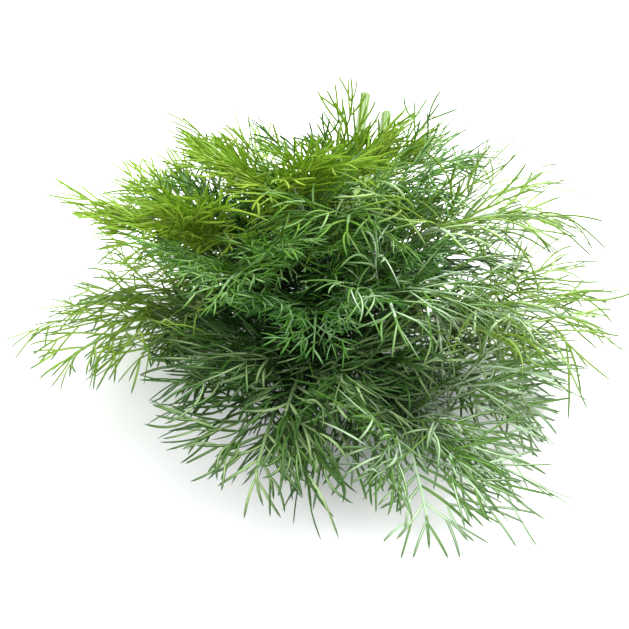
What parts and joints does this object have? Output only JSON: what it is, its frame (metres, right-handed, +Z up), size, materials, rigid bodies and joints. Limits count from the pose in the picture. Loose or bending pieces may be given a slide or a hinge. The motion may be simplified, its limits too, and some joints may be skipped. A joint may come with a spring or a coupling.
{
  "type": "bunch of dill",
  "caption": "Loose bunch of fresh dill lying on its side: cut stems gathered at the back, fine feathery fronds fanned out over the front and sides.",
  "frame": {"origin": "on the surface that the bunch lies on, below the middle of its overall box", "axes": "+Z up from the surface, +Y along the stems towards their cut ends, -Y towards the leaf tips, +X to the right seen from the leaf tips"},
  "size_m": [0.1454, 0.2024, 0.0672],
  "materials": {
    "stem": "satin",
    "leaf_sunlit": "satin",
    "leaf_green": "satin",
    "leaf_bluish": "satin",
    "leaf_pale": "satin"
  },
  "bodies": {
    "root": {"stem_1": "stem", "stem_2": "stem", "stem_3": "stem", "stem_4": "stem", "stem_5": "stem", "stem_6": "stem", "stem_7": "stem", "stem_8": "stem", "stem_9": "stem", "stem_10": "stem", "stem_11": "stem", "stem_12": "stem", "frond_1_1": "leaf_green", "frond_2_1": "leaf_bluish", "frond_3_1": "leaf_bluish", "frond_4_1": "leaf_pale", "frond_5_1": "leaf_pale", "frond_6_1": "leaf_sunlit", "frond_7_1": "leaf_green", "frond_8_1": "leaf_green", "frond_9_1": "leaf_pale", "frond_10_1": "leaf_pale", "frond_11_1": "leaf_sunlit", "frond_12_1": "leaf_green", "frond_1_2": "leaf_green", "frond_2_2": "leaf_bluish", "frond_3_2": "leaf_bluish", "frond_4_2": "leaf_pale", "frond_5_2": "leaf_pale", "frond_6_2": "leaf_sunlit", "frond_7_2": "leaf_green", "frond_8_2": "leaf_green", "frond_9_2": "leaf_pale", "frond_10_2": "leaf_pale", "frond_11_2": "leaf_sunlit", "frond_12_2": "leaf_green", "frond_1_3": "leaf_green", "frond_2_3": "leaf_bluish", "frond_3_3": "leaf_bluish", "frond_4_3": "leaf_pale", "frond_5_3": "leaf_pale", "frond_6_3": "leaf_sunlit", "frond_7_3": "leaf_green", "frond_8_3": "leaf_green", "frond_9_3": "leaf_pale", "frond_10_3": "leaf_pale", "frond_11_3": "leaf_sunlit", "frond_12_3": "leaf_green", "frond_1_4": "leaf_green", "frond_2_4": "leaf_bluish", "frond_3_4": "leaf_bluish", "frond_4_4": "leaf_pale", "frond_5_4": "leaf_pale", "frond_6_4": "leaf_sunlit", "frond_7_4": "leaf_green", "frond_8_4": "leaf_green", "frond_9_4": "leaf_pale", "frond_10_4": "leaf_pale", "frond_11_4": "leaf_sunlit", "frond_12_4": "leaf_green"}
  },
  "joints": []
}
